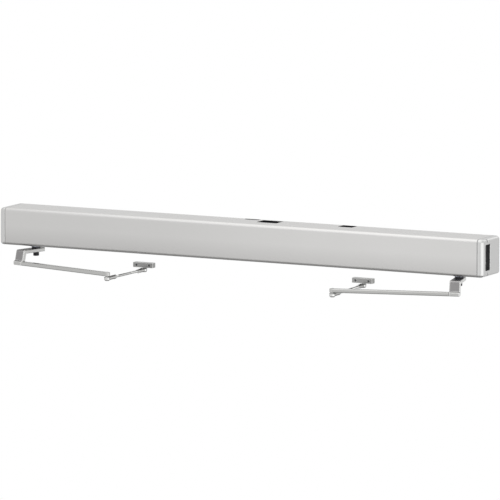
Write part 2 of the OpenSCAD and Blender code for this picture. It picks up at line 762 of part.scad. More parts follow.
// Output spindle: journals, gear seats, shoulder and the square for the arm
module output_spindle() {
    shoulder_top = -half_h - collar_drop - 0.5;
    color(dark_steel) difference() {
        union() {
            translate([0, 0, shoulder_top - eps])
                cylinder(r = journal_r - run_gap, h = 54 - shoulder_top);
            translate([0, 0, plate_top]) cylinder(r = 18, h = shoulder_top - plate_top);
            translate([0, 0, -62]) cylinder(r = 12, h = 60);
            arm_frame() translate([-square_w / 2, -square_w / 2, plate_top - 11])
                cube([square_w, square_w, 11 + eps]);
        }
        translate([0, 0, plate_top - 12]) cylinder(d = 12, h = 40);
    }
}

module output_gear() {
    h = 16;
    color(steel) translate([0, 0, output_z]) difference() {
        union() {
            gear(drive_m, output_teeth, h);
            translate([0, 0, -1]) cylinder(r = 19, h = h + 3);
        }
        translate([0, 0, -5]) cylinder(r = 12, h = h + 10);
        for (a = [0:60:300]) rotate(a) translate([33, 0, -1]) cylinder(r = 7.5, h = h + 2);
    }
}

module closer_pinion() {
    color(steel) translate([0, 0, rack_z0]) difference() {
        union() {
            gear(drive_m, closer_teeth, rack_z1 - rack_z0);
            translate([0, 0, -2]) cylinder(r = 15, h = 3);
        }
        translate([0, 0, -3]) cylinder(r = journal_r - run_gap, h = 40);
    }
}

// Lower and upper ball bearing, each one ring with grooved faces
module spindle_bearings() {
    color(steel) for (z = [-half_h - collar_drop + 2, 1])
        translate([0, 0, z]) rotate_extrude()
            polygon([[journal_r, 0], [journal_r + 3, 0], [journal_r + 3.5, 1], [bearing_r - 3.5, 1],
                     [bearing_r - 3, 0], [bearing_r, 0], [bearing_r, bearing_t], [bearing_r - 3, bearing_t],
                     [bearing_r - 3.5, bearing_t - 1], [journal_r + 3.5, bearing_t - 1],
                     [journal_r + 3, bearing_t], [journal_r, bearing_t]]);
}

// Intermediate shaft with its small pinion and large gear
module cluster_gear() {
    color(steel) translate([cluster_x, 0, 0]) union() {
        translate([0, 0, case_bottom + 2]) cylinder(r = 5, h = lid_t - 3.5 - case_bottom);
        translate([0, 0, output_z - 1]) gear(drive_m, cluster_small_teeth, 22, 180 / cluster_small_teeth);
        translate([0, 0, cluster_large_z]) difference() {
            gear(motor_m, cluster_large_teeth, 10);
            for (a = [0:72:288]) rotate(a) translate([23, 0, -1]) cylinder(r = 6, h = 12);
        }
        translate([0, 0, cluster_large_z - 2.01]) cylinder(r = 12, h = 14);
    }
}

// Motor can with its end bells, cooling ribs and cable box
module motor() {
    bottom = lid_t + 2;
    color(dark_steel) translate([motor_x, motor_y + spindle_y, bottom]) difference() {
        union() {
            cylinder(r = 32, h = 8);
            translate([0, 0, 8 - eps]) cylinder(r = 30, h = 42);
            for (a = [20:20:340]) rotate(a + 90) translate([29.5, -1, 8]) cube([2.3, 2, 42]);
            translate([0, 0, 50 - 2 * eps]) rotate_extrude()
                polygon([[0, 0], [31, 0], [31, 4], [27, 8], [0, 8]]);
            block([-10, 28, 18], [10, 45.8, 58]);
        }
        translate([0, 0, -1]) cylinder(r = 6 + run_gap, h = 8);
        for (a = [45:90:315]) rotate(a) translate([25, 0, 55]) cylinder(r = 2.2, h = 5);
    }
}

// Motor shaft with its pinion
module motor_pinion() {
    color(steel) translate([motor_x, motor_y + spindle_y, 0]) union() {
        translate([0, 0, cluster_large_z - 2]) gear(motor_m, motor_teeth, 14);
        translate([0, 0, cluster_large_z - 3]) cylinder(r = 6, h = 49);
    }
}

// Arm, in the unit frame

// Gooseneck: a flat hub on the spindle, a leg down and a foot for the bar
function neck_side() = concat(
    [[neck_back, plate_bottom], [neck_back, plate_top]],
    arc(-leg_front + 8, plate_top - 8, 8, 90, 172, 8),
    [[-leg_front - leg_lean + 2, bar_top + 3]],
    arc(-arm_offset - bar_w / 2 + 4, bar_top - 3.5, 4, 120, 180, 4),
    arc(-arm_offset - bar_w / 2 + 4, bar_bottom + 4, 4, 180, 270, 6),
    arc(-arm_offset + bar_w / 2 - 5, bar_bottom + 5, 5, 270, 350, 6),
    arc(-leg_front + neck_t + 6, plate_bottom - 6, 6, 172, 90, 6));
// Its hub, bend, leg and foot, by the numbers of that outline's points
function run(first, last) = [for (i = [first:last]) i];
neck_parts = [[0, 1, 2, 37], concat(run(6, 10), run(31, 37), run(2, 5)), [10, 11, 30, 31], run(11, 30)];
module gooseneck() {
    corner = 6;
    color(steel) arm_frame() difference() {
        soft_slab(neck_side(), neck_w, neck_soft_r, neck_parts);
        for (s = [-1, 1])
            translate([s * neck_w / 2, neck_back, plate_bottom - 1]) linear_extrude(neck_t + 2)
                polygon([[s, -corner - 1], [s, 1], [-s * (corner + 1), 1]]);
        translate([-square_w / 2 - run_gap, -square_w / 2 - run_gap, plate_top - 11.2])
            cube([square_w + 2 * run_gap, square_w + 2 * run_gap, 20]);
        translate([0, 0, plate_bottom - 1]) cylinder(d = 14.5, h = 20);
    }
}

// Socket screw that clamps the gooseneck to the spindle from below
module arm_screw() {
    color(black) difference() {
        union() {
            translate([0, 0, plate_bottom - arm_screw_h]) rotate_extrude()
                polygon([[0, 0], [arm_screw_d / 2 - 1, 0], [arm_screw_d / 2, 1],
                         [arm_screw_d / 2, arm_screw_h], [0, arm_screw_h]]);
            translate([0, 0, plate_bottom - eps]) cylinder(d = 12, h = neck_t + 12);
        }
        translate([0, 0, plate_bottom - arm_screw_h - 1]) cylinder(d = 13.8, h = 9, $fn = 6);
    }
}

// Main arm: a bar with soft edges from the foot to the elbow's round end
module main_arm() {
    color(steel) arm_frame() difference() {
        union() {
            along_x(neck_w / 2, arm_reach)
                polygon(round_rect(-arm_offset - bar_w / 2, bar_bottom,
                                   -arm_offset + bar_w / 2, bar_top, bar_soft_r));
            translate([arm_reach, -arm_offset, bar_bottom]) rotate_extrude()
                polygon([[0, 0], [bar_w / 2 - 1.5, 0], [bar_w / 2, 1.5], [bar_w / 2, bar_h - 1.5],
                         [bar_w / 2 - 1.5, bar_h], [0, bar_h]]);
        }
        translate([arm_reach, -arm_offset, bar_bottom - 1]) cylinder(r = stud_r, h = bar_h + 2);
    }
}

// Ball stud: a ball on a shank; `top` is where its head ends
module ball_stud(shoulder, top) {
    color(steel) union() {
        translate([0, 0, pivot_z]) sphere(r = ball_r);
        translate([0, 0, pivot_z + 6]) cylinder(r = stud_neck_r, h = shoulder - pivot_z - 6 + eps);
        translate([0, 0, shoulder]) cylinder(r = stud_r, h = top - shoulder);
    }
}
module elbow_stud() {
    translate([elbow[0], elbow[1], 0]) ball_stud(bar_bottom, bar_top + 1);
}
module shoe_stud() {
    at_shoe() ball_stud(shoe_bottom, shoe_top - 4);
}

// Socket for a ball stud, with a shank along +X that is bored from
// `bore_from` on with the radius `bore_r`
module ball_socket(shank, bore_from, bore_r) {
    difference() {
        union() {
            translate([0, 0, socket_bottom]) rotate_extrude()
                polygon([[0, 0], [socket_r - 4, 0], [socket_r - 1.2, 2], [socket_r, 5], [socket_r, 13],
                         [socket_r - 1, 15.5], [0, 15.5]]);
            translate([8, 0, pivot_z]) rotate([0, 90, 0]) cylinder(r = shank_r, h = shank - 8);
        }
        translate([0, 0, pivot_z]) sphere(r = ball_r + run_gap);
        translate([0, 0, pivot_z + 4]) cylinder(r1 = 5.2, r2 = 7.4, h = 6);
        translate([bore_from, 0, pivot_z]) rotate([0, 90, 0]) cylinder(r = bore_r, h = shank);
    }
}
module elbow_socket() {
    color(steel) forearm_frame() ball_socket(elbow_shank_l, 24, rod_d / 2);
}
module shoe_socket() {
    color(steel) at_shoe() rotate(-90 - forearm_lean) union() {
        ball_socket(shoe_shank_l, bore_start, rod_d / 2 + run_gap);
        translate([shoe_shank_l - eps, 0, pivot_z]) rotate([0, 90, 0]) difference() {
            cylinder(d = 18.5, h = 7, $fn = 6);
            translate([0, 0, -1]) cylinder(r = rod_d / 2 + run_gap, h = 9);
        }
    }
}

// Forearm rod, screwed into the elbow socket and clamped in the shoe socket
module forearm_rod() {
    start = 24.5;
    color(steel) forearm_frame() translate([start, 0, pivot_z]) rotate([0, 90, 0])
        cylinder(d = rod_d, h = forearm_l - start - shoe_shank_l + rod_into_shoe);
}

// Door shoe: a block screwed to the door's face by two countersunk screws
module door_shoe() {
    color(steel) at_shoe() difference() {
        translate([0, 0, shoe_bottom]) linear_extrude(shoe_h)
            polygon(round_rect(-shoe_l / 2, -shoe_d / 2, shoe_l / 2, shoe_d / 2, 2));
        translate([0, 0, shoe_bottom - 1]) cylinder(r = stud_r, h = shoe_h - 3);
        for (s = [-1, 1]) translate([s * shoe_pitch / 2, 0, shoe_bottom + shoe_h / 2]) rotate([90, 0, 0]) {
            cylinder(d = 5.5, h = shoe_d + 2, center = true);
            translate([0, 0, shoe_d / 2 - 3]) cylinder(d1 = 5.5, d2 = 11.5, h = 3 + eps);
        }
    }
}

back_channel();
front_cover();
left_end_cap();
right_end_cap();
middle_grommet();
large_grommet();
right_grommet();
switch_housing();
switch_frames();
power_rocker();
mode_rocker();
control_tray();
control_board();
power_supply();
terminal_block();
wiring_loom();
drive_screws();

at_left() gear_case();  // left_gear_case
at_left() upper_case();  // left_upper_case
at_left() spring_tube();  // left_spring_tube
at_left() closing_spring();  // left_closing_spring
at_left() spring_rack();  // left_spring_rack
at_left() output_spindle();  // left_output_spindle
at_left() output_gear();  // left_output_gear
at_left() closer_pinion();  // left_closer_pinion
at_left() spindle_bearings();  // left_spindle_bearings
at_left() cluster_gear();  // left_cluster_gear
at_left() motor();  // left_motor
at_left() motor_pinion();  // left_motor_pinion
at_left() gooseneck();  // left_gooseneck
at_left() arm_screw();  // left_arm_screw
at_left() main_arm();  // left_main_arm
at_left() elbow_stud();  // left_elbow_stud
at_left() elbow_socket();  // left_elbow_socket
at_left() forearm_rod();  // left_forearm_rod
at_left() shoe_socket();  // left_shoe_socket
at_left() shoe_stud();  // left_shoe_stud
at_left() door_shoe();  // left_door_shoe

at_right() gear_case();  // right_gear_case
at_right() upper_case();  // right_upper_case
at_right() spring_tube();  // right_spring_tube
at_right() closing_spring();  // right_closing_spring
at_right() spring_rack();  // right_spring_rack
at_right() output_spindle();  // right_output_spindle
at_right() output_gear();  // right_output_gear
at_right() closer_pinion();  // right_closer_pinion
at_right() spindle_bearings();  // right_spindle_bearings
at_right() cluster_gear();  // right_cluster_gear
at_right() motor();  // right_motor
at_right() motor_pinion();  // right_motor_pinion
at_right() gooseneck();  // right_gooseneck
at_right() arm_screw();  // right_arm_screw
at_right() main_arm();  // right_main_arm
at_right() elbow_stud();  // right_elbow_stud
at_right() elbow_socket();  // right_elbow_socket
at_right() forearm_rod();  // right_forearm_rod
at_right() shoe_socket();  // right_shoe_socket
at_right() shoe_stud();  // right_shoe_stud
at_right() door_shoe();  // right_door_shoe
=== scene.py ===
import json
import math

import bmesh
import bpy
import numpy as np
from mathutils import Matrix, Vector


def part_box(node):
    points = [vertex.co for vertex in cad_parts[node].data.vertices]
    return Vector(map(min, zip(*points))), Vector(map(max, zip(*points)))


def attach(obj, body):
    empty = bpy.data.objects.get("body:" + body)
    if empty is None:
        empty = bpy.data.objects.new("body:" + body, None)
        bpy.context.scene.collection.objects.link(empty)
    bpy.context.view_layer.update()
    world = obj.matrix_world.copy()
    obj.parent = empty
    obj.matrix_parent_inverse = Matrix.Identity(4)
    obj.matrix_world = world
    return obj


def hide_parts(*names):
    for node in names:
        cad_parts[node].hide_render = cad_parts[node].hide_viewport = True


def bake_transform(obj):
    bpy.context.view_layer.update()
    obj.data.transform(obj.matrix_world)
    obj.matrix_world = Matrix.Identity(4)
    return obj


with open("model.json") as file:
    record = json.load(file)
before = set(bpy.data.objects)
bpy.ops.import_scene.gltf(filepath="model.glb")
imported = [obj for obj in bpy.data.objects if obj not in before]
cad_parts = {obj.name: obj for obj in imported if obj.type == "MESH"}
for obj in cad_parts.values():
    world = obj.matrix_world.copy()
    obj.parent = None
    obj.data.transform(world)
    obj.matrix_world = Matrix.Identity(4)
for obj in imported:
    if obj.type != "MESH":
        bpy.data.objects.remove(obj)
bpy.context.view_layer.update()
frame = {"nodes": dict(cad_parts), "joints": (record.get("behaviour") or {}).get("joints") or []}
nodes = frame["nodes"]
scene = bpy.context.scene

# The view: a long lens far off to the right and a little above, so the
# header's edges run almost parallel. The aim is the middle of its front face.
aim = Vector((0, -0.152, 0))
azimuth = math.radians(27.41)
elevation = math.radians(7.69)
distance = 29.587
away = Vector((math.sin(azimuth) * math.cos(elevation),
               -math.cos(azimuth) * math.cos(elevation), math.sin(elevation)))
camera = bpy.data.objects.new("camera", bpy.data.cameras.new("camera"))
camera.location = aim + distance * away
camera.rotation_euler = away.to_track_quat("Z", "Y").to_euler()
camera.data.sensor_width = 36
camera.data.lens = 530.9
camera.data.shift_x = 0.0259
camera.data.shift_y = -0.0155
camera.data.clip_end = 200
scene.collection.objects.link(camera)
scene.camera = camera
scene.view_settings.view_transform = "Standard"


# The first finish is the studio floor's. Every finish is a Principled shader fed
# by sums of signals, so the two classes that write those sums stand here.
class Signal:
    """A shader socket in a sum: numbers and signals join through Math nodes."""

    def __init__(self, finish, socket):
        self.finish = finish
        self.socket = socket

    def math(self, operation, *terms):
        return self.finish.node("ShaderNodeMath", {"operation": operation}, *terms)

    def __add__(self, other):
        return self.math("ADD", self, other)

    def __sub__(self, other):
        return self.math("SUBTRACT", self, other)

    def __rsub__(self, other):
        return self.math("SUBTRACT", other, self)

    def __mul__(self, other):
        return self.math("MULTIPLY", self, other)

    def __lt__(self, other):
        return self.math("LESS_THAN", self, other)

    def __gt__(self, other):
        return self.math("GREATER_THAN", self, other)

    __radd__ = __add__
    __rmul__ = __mul__

    def above(self, edge, width):
        """0 below `edge`, 1 above `edge + width`, straight between."""
        return self.finish.node("ShaderNodeMapRange", {"clamp": True}, self, edge, edge + width)


class Finish:
    """A material around one Principled shader; `node` adds any other node."""

    def __init__(self, name, color, roughness, metallic=0.0, **fixed):
        self.material = bpy.data.materials.new(name)
        self.material.use_nodes = True
        self.tree = self.material.node_tree
        self.shader = self.tree.nodes["Principled BSDF"]
        self.color = (*color, 1.0)
        self.coat = self.color
        self.feed("Base Color", self.color)
        self.feed("Roughness", roughness)
        self.feed("Metallic", metallic)
        for socket, value in fixed.items():
            self.feed(socket.replace("_", " "), value)

    def put(self, socket, value):
        if isinstance(value, Signal):
            self.tree.links.new(value.socket, socket)
        else:
            socket.default_value = value

    def feed(self, name, value):
        self.put(self.shader.inputs[name], value)

    def node(self, kind, settings=None, *values, out=0, **named):
        made = self.tree.nodes.new(kind)
        for key, value in (settings or {}).items():
            setattr(made, key, value)
        for socket, value in zip(made.inputs, values):
            self.put(socket, value)
        for key, value in named.items():
            self.put(made.inputs[key.replace("_", " ")], value)
        return Signal(self, made.outputs[out])

    def place(self, stretch=(1, 1, 1)):
        """Object coordinates in metres, multiplied by `stretch`."""
        where = self.node("ShaderNodeTexCoord", out="Object")
        return self.node("ShaderNodeMapping", {}, Vector=where, Scale=stretch)

    def along(self, axis):
        """One of the object coordinates, 0 for x to 2 for z, in metres."""
        where = self.node("ShaderNodeTexCoord", out="Object")
        return self.node("ShaderNodeSeparateXYZ", {}, where, out=axis)

    def noise(self, grain, stretch=(1, 1, 1), detail=3.0):
        """Noise from 0 to 1 whose lumps are about `grain` metres across."""
        return self.node("ShaderNodeTexNoise", {}, Vector=self.place(stretch),
                         Scale=1 / grain, Detail=detail)

    def tint(self, amount, low, high):
        """Feeds the colour, which runs from `low` to `high` times its value."""
        shades = [tuple(min(1.0, c * k) for c in self.color[:3]) + (1.0,) for k in (low, high)]
        self.coat = shades[0]
        self.paint(amount, shades[1])

    def paint(self, mask, color):
        """Lays a second colour over the first one where `mask` is 1."""
        mixed = self.node("ShaderNodeMix", {"data_type": "RGBA"}, out=2, Factor=mask)
        made = mixed.socket.node
        self.put(made.inputs[6], self.coat)
        self.put(made.inputs[7], color)
        self.coat = mixed
        self.feed("Base Color", mixed)

    def bump(self, height, depth, soft=0.0):
        """Feeds the normal with a relief of `depth` metres. With `soft` the normal
        under it is averaged over that radius, so facets of a rounding blend."""
        under = {"Normal": self.node("ShaderNodeBevel", {"samples": 8}, Radius=soft)} if soft else {}
        self.feed("Normal", self.node("ShaderNodeBump", {}, Strength=1.0, Distance=depth,
                                      Height=height, **under))

    def on(self, *names):
        """Gives this finish to CAD nodes by name."""
        for name in names:
            for slot in nodes[name].material_slots:
                slot.material = self.material


# The studio: a pale floor at a door's height below the header, clear from below,
# and an even white surround. A wide soft box hangs overhead, an upright one stands
# beside the right cap, and three weak ones light the rounding, the front and the rim.
floor_drop = 2.2
floor_half = 3.5
white = (1, 1, 1, 1)
floor_mesh = bpy.data.meshes.new("floor")
floor_mesh.from_pydata([(x * floor_half, y * floor_half, -floor_drop)
                        for x, y in ((-1, -1), (1, -1), (1, 1), (-1, 1))], [], [(0, 1, 2, 3)])
floor = bpy.data.objects.new("floor", floor_mesh)
scene.collection.objects.link(floor)
floor_paint = Finish("floor_paint", (0.42, 0.42, 0.42), 0.8)
floor_paint.tint(floor_paint.noise(0.4), 0.98, 1.02)
floor_paint.paint(floor_paint.node("ShaderNodeLightPath", out="Is Camera Ray"), (0.94, 0.94, 0.94, 1))
floor_paint.feed("Alpha", 1 - floor_paint.node("ShaderNodeNewGeometry", out="Backfacing"))
floor_mesh.materials.append(floor_paint.material)

ambient = 0.8
world = bpy.data.worlds.new("surround")
scene.world = world
world.use_nodes = True
rays = world.node_tree.nodes.new("ShaderNodeLightPath")
background = world.node_tree.nodes["Background"]
background.inputs["Color"].default_value = white
seen = rays.outputs["Is Camera Ray"]
for name in ("Is Glossy Ray", "Is Transmission Ray"):
    either = world.node_tree.nodes.new("ShaderNodeMath")
    either.operation = "MAXIMUM"
    world.node_tree.links.new(seen, either.inputs[0])
    world.node_tree.links.new(rays.outputs[name], either.inputs[1])
    seen = either.outputs[0]
level = world.node_tree.nodes.new("ShaderNodeMapRange")
world.node_tree.links.new(seen, level.inputs["Value"])
level.inputs["To Min"].default_value = ambient
level.inputs["To Max"].default_value = 1.0
world.node_tree.links.new(level.outputs[0], background.inputs["Strength"])


def soft_box(name, place, towards, size, radiance):
    """Rectangular lamp; its power is radiance times area times pi."""
    lamp = bpy.data.lights.new(name, "AREA")
    lamp.shape = "RECTANGLE"
    lamp.size, lamp.size_y = size
    lamp.energy = radiance * size[0] * size[1] * math.pi
    holder = bpy.data.objects.new(name, lamp)
    holder.location = place
    holder.rotation_euler = (Vector(place) - Vector(towards)).to_track_quat("Z", "Y").to_euler()
    scene.collection.objects.link(holder)


for lamp_name, place, towards, size, radiance in (
        ("top_box", (-0.2, -0.9, 2.8), (-0.2, -0.9, 0), (4.6, 8.6), 0.52),
        ("side_box", (2.55, -0.9, -0.2), (1.09, -0.15, 0), (3.4, 2.0), 0.65),
        ("ridge_box", (-0.35, -0.4, 2.75), (-0.35, -0.4, 0), (1.1, 1.6), 0.3),
        ("front_box", (-0.4, -2.8, -0.4), (0.6, -0.15, 0), (1.6, 1.8), 0.22),
        ("back_box", (1.42, 2.2, 1.14), (1.09, 0, 0), (0.9, 0.9), 0.6)):
    soft_box(lamp_name, place, towards, size, radiance)

# Front cover and back channel: long aluminium extrusions, clear-anodised to a
# satin silver, with the die's fine lines along their length. Shade is painted on
# the front below its middle, darker towards the lower edge, and a painted shadow
# darkens the sawn ends at the seams to the caps.
SILVER_EDGE = (0.86, 0.86, 0.86, 1)
SEAM_SHADOW_WIDTH = 0.0022
PAINTED_SHADE_FROM, PAINTED_SHADE_OVER = 0.003, 0.085
cover_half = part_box("front_cover")[1][0]
extrusion = Finish("extrusion", (0.575, 0.57, 0.562), 0.36, 1.0, Specular_Tint=SILVER_EDGE)
die_lines = extrusion.noise(0.002, (0.02, 1, 1))
clouds = extrusion.noise(0.25)
extrusion.tint(clouds * 0.6 + die_lines * 0.4, 0.97, 1.03)
extrusion.feed("Roughness", die_lines * 0.08 + 0.32)
extrusion.bump(die_lines, 0.00001, 0.005)
# Painted shade: the colour darkens from 3 mm above the front's middle and is darkest 85 mm lower.
below = (PAINTED_SHADE_FROM - extrusion.along(2)).above(0.0, PAINTED_SHADE_OVER)
extrusion.paint(below, (0.475, 0.47, 0.463, 1))
from_middle = extrusion.node("ShaderNodeMath", {"operation": "ABSOLUTE"}, extrusion.along(0))
# Painted shadow: the last 2.2 mm at each end is painted dark, as the shade in the seam to the end cap.
extrusion.paint(from_middle > cover_half - SEAM_SHADOW_WIDTH, (0.29, 0.29, 0.29, 1))
extrusion.on("front_cover", "back_channel")

# End caps: die-cast and lacquered in silver, a touch smoother and brighter
# than the extrusions, with the lacquer's faint orange peel. Their tongues slide
# under the channel's flanges.
cap_lacquer = Finish("cap_lacquer", (0.555, 0.555, 0.55), 0.30, 1.0, Specular_Tint=SILVER_EDGE)
cap_lacquer.tint(cap_lacquer.noise(0.05), 0.98, 1.02)
cap_lacquer.bump(cap_lacquer.noise(0.003), 0.00003, 0.006)
cap_lacquer.on("left_end_cap", "right_end_cap")

# Grommets: moulded black rubber plugs in the three cable openings, held by a
# lip below the channel's flange. The rubber is quite dull.
rubber = Finish("rubber", (0.012, 0.012, 0.013), 0.7, Specular_IOR_Level=0.0)
rubber.bump(rubber.noise(0.0015), 0.0001)
rubber.on("middle_grommet", "large_grommet", "right_grommet")

# Switches: a moulded black housing set into the right end cap, with a texture
# from spark erosion. Two frames, each with a rim in front, hold the smoother
# rocker keys on their pins.
switch_plastic = Finish("switch_plastic", (0.050, 0.050, 0.052), 0.45)
switch_plastic.bump(switch_plastic.noise(0.0008), 0.00006)
switch_plastic.on("switch_housing", "switch_frames")
key_plastic = Finish("key_plastic", (0.028, 0.028, 0.030), 0.25)
key_plastic.bump(key_plastic.noise(0.02), 0.00002)
key_plastic.on("power_rocker", "mode_rocker")


# Marks on the keys: thin printed signs, a bar and a ring for on and off on the
# power key, one bar and two bars on the mode key. Every new piece is made of
# rings of points in millimetres, and what turns rings into an object stands here.
def skin(rings, endless=False):
    """Points and faces of a solid: a quad joins each side of a ring to the same
    side of the next ring. The two end rings are filled, or joined if endless."""
    count, sides = rings.shape[:2]
    row = np.arange(count if endless else count - 1)[:, None]
    point = np.arange(sides)[None, :]
    corners = [(row, point), (row, point + 1), (row + 1, point + 1), (row + 1, point)]
    quads = np.stack([a % count * sides + b % sides for a, b in corners], -1)
    faces = quads.reshape(-1, 4).tolist()
    if not endless:
        faces += [list(range(sides)), list(range((count - 1) * sides, count * sides))]
    return rings.reshape(-1, 3), faces


def piece(name, body, solids, replaces=(), crease=35):
    """One object from (rings, finish) pairs, with True as a third item where
    the rings are endless. Its doubles are merged and its faces point outwards.
    Without a body it is left free."""
    whole = bmesh.new()
    made = bpy.data.objects.new(name, bpy.data.meshes.new(name))
    finishes = []
    for rings, finish, *endless in solids:
        if finish not in finishes:
            finishes.append(finish)
            made.data.materials.append(finish.material)
        points, faces = skin(np.asarray(rings) * 0.001, *endless)
        shell = bpy.data.meshes.new("shell")
        shell.from_pydata(points, [], faces)
        form = bmesh.new()
        form.from_mesh(shell)
        bmesh.ops.remove_doubles(form, verts=form.verts, dist=1e-7)
        bmesh.ops.recalc_face_normals(form, faces=form.faces)
        form.to_mesh(shell)
        form.free()
        shell.polygons.foreach_set("material_index",
                                   np.full(len(shell.polygons), finishes.index(finish), "i"))
        whole.from_mesh(shell)
        bpy.data.meshes.remove(shell)
    whole.to_mesh(made.data)
    whole.free()
    made.data.shade_smooth()
    made.data.set_sharp_from_angle(angle=math.radians(crease))
    scene.collection.objects.link(made)
    if body:
        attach(made, body)
    if replaces:
        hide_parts(*replaces)
    return made


def pivot(joint):
    """A joint's place at rest, in millimetres."""
    return np.array(next(j for j in frame["joints"] if j["name"] == joint)["pos_m"]) * 1000


def arc(centre, radius, start, end, steps):
    """Points centre + radius (cos a, sin a) with `a` from start to end degrees."""
    turn = np.radians(np.linspace(start, end, steps + 1))
    return centre + radius * np.stack([np.cos(turn), np.sin(turn)], -1)


def turned(profile, sides=24, hexed=()):
    """Rings about z, one for each (radius, height) of the profile. A row in
    `hexed` is a hexagon: its radius is r cos 30 / cos(a mod 60 - 30)."""
    turn = np.arange(sides) * 2 * math.pi / sides
    flats = math.cos(math.pi / 6) / np.cos(turn % (math.pi / 3) - math.pi / 6)
    radius, height = np.array(profile, float).T[:, :, None]
    reach = radius * np.where(np.isin(np.arange(len(profile)), hexed)[:, None], flats, 1)
    return np.stack([reach * np.cos(turn), reach * np.sin(turn), height + 0 * reach], -1)


def rounded(low, high, radius, steps=3):
    """Outline of a rectangle whose four corners are quarter circles."""
    (x0, y0), (x1, y1) = np.array(low) + radius, np.array(high) - radius
    corners = [(x1, y1), (x0, y1), (x0, y0), (x1, y0)]
    return np.concatenate([arc(c, radius, 90 * k, 90 * k + 90, steps)
                           for k, c in enumerate(corners)])


def slab(outline, low, high, soft=0.0, steps=2):
    """Rings of a plate from z = low to high. At an edge of radius s the ring for
    the angle a stands s (1 - sin a) inside the outline, s (1 - cos a) from the face."""
    before = outline - np.roll(outline, 1, 0)
    after = np.roll(outline, -1, 0) - outline
    before, after = (v / np.linalg.norm(v, axis=1, keepdims=True) for v in (before, after))
    inward = np.stack([-before[:, 1] - after[:, 1], before[:, 0] + after[:, 0]], -1)
    inward /= (1 + (before * after).sum(1))[:, None]
    turn = np.linspace(0, math.pi / 2, steps + 1)
    inset, rise = soft * (1 - np.sin(turn)), soft * (1 - np.cos(turn))
    inset = np.concatenate([inset, inset[::-1]])[:, None, None]
    level = np.concatenate([low + rise, (high - rise)[::-1]])[:, None, None]
    flat = outline + inset * inward
    return np.concatenate([flat, level + 0 * flat[..., :1]], -1)


def brick(low, high, soft):
    """Box from its lowest to its highest corner, all its edges rounded."""
    return slab(rounded(low[:2], high[:2], soft), low[2], high[2], soft * 0.99)


def placed(rings, origin, up=(0, 0, 1), right=(1, 0, 0)):
    """Rings turned so that their z runs along `up` and their x along `right`."""
    up, right = (np.array(v, float) / np.linalg.norm(v) for v in (up, right))
    return rings @ np.array([right, np.cross(up, right), up]) + origin


KEY_RISE, KEY_HALF = 1.6, 13.2
SIGN_OUT, SIGN_ALONG = 5.35, 9
POWER_TILT = 8


def face_of(joint, half, tilt):
    """Origin, normal and direction across the key of one half of a rocker key:
    its face rises by KEY_RISE over KEY_HALF from the valley to the end."""
    lean = math.radians(tilt) + half * math.atan(KEY_RISE / KEY_HALF)
    out = np.array([math.cos(lean), 0, -math.sin(lean)])
    key = np.array([math.cos(math.radians(tilt)), 0, -math.sin(math.radians(tilt))])
    along = np.array([math.sin(math.radians(tilt)), 0, math.cos(math.radians(tilt))])
    return pivot(joint) + SIGN_OUT * key + half * SIGN_ALONG * along, out, (0, 1, 0)


white_print = Finish("white_print", (0.72, 0.72, 0.70), 0.5)
white_print.tint(white_print.noise(0.0006), 0.85, 1.05)
grey_print = Finish("grey_print", (0.16, 0.16, 0.16), 0.5)
grey_print.tint(grey_print.noise(0.0006), 0.85, 1.05)
bar = slab(rounded((-0.6, -3.5), (0.6, 3.5), 0.3), -0.1, 0.15)
ring = turned([(2.6, -0.1), (3.8, -0.1), (3.8, 0.15), (2.6, 0.15)])
for name, ink, upper, lower in (("power", white_print, [(ring, True)], [(bar, False)]),
                                ("mode", grey_print, [(bar, False)],
                                 [(bar + (-1.6, 0, 0), False), (bar + (1.6, 0, 0), False)])):
    marks = []
    for half, signs in ((1, upper), (-1, lower)):
        origin, out, across = face_of(name + "_rocker_tilt", half, POWER_TILT if name == "power" else 0)
        marks += [(placed(sign, origin, out, across), ink, endless) for sign, endless in signs]
    piece(name + "_marks", name + "_switch", marks)

# Opening blanks: soft rubber blanks pressed into the cover's three openings,
# flush with its top, with thin rings where a cable breaks through. A grommet's lip
# stands out all round it, but not behind where its opening ends at the wall.
blank_rubber = Finish("blank_rubber", (0.008, 0.008, 0.009), 0.7, Specular_IOR_Level=0.0)
blank_rubber.bump(blank_rubber.noise(0.0015), 0.00005)
LIP, PLAY = 3, 0.15
BLANK_TOP, RING_FOOT = 75.9, 75.6
RING_PITCH = 20
blanks = []
for name in ("middle_grommet", "large_grommet", "right_grommet"):
    low, high = (np.array(v) * 1000 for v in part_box(name))
    low[:2] += LIP + PLAY
    high[:2] -= (LIP + PLAY, LIP + PLAY if high[1] < -LIP else PLAY)
    outline = rounded(low[:2], high[:2], 1.2)
    blanks.append((slab(outline, high[2] + PLAY, BLANK_TOP, 0.25), blank_rubber))
    count = int((high[0] - low[0]) // RING_PITCH)
    for i in range(count):
        spot = (low[0] + (high[0] - low[0]) * (i + 0.5) / count, (low[1] + high[1]) / 2, RING_FOOT)
        blanks.append((turned([(5.2, 0), (6, 0), (6, 0.4), (5.2, 0.4)]) + spot, blank_rubber, True))
piece("opening_blanks", "cover", blanks)

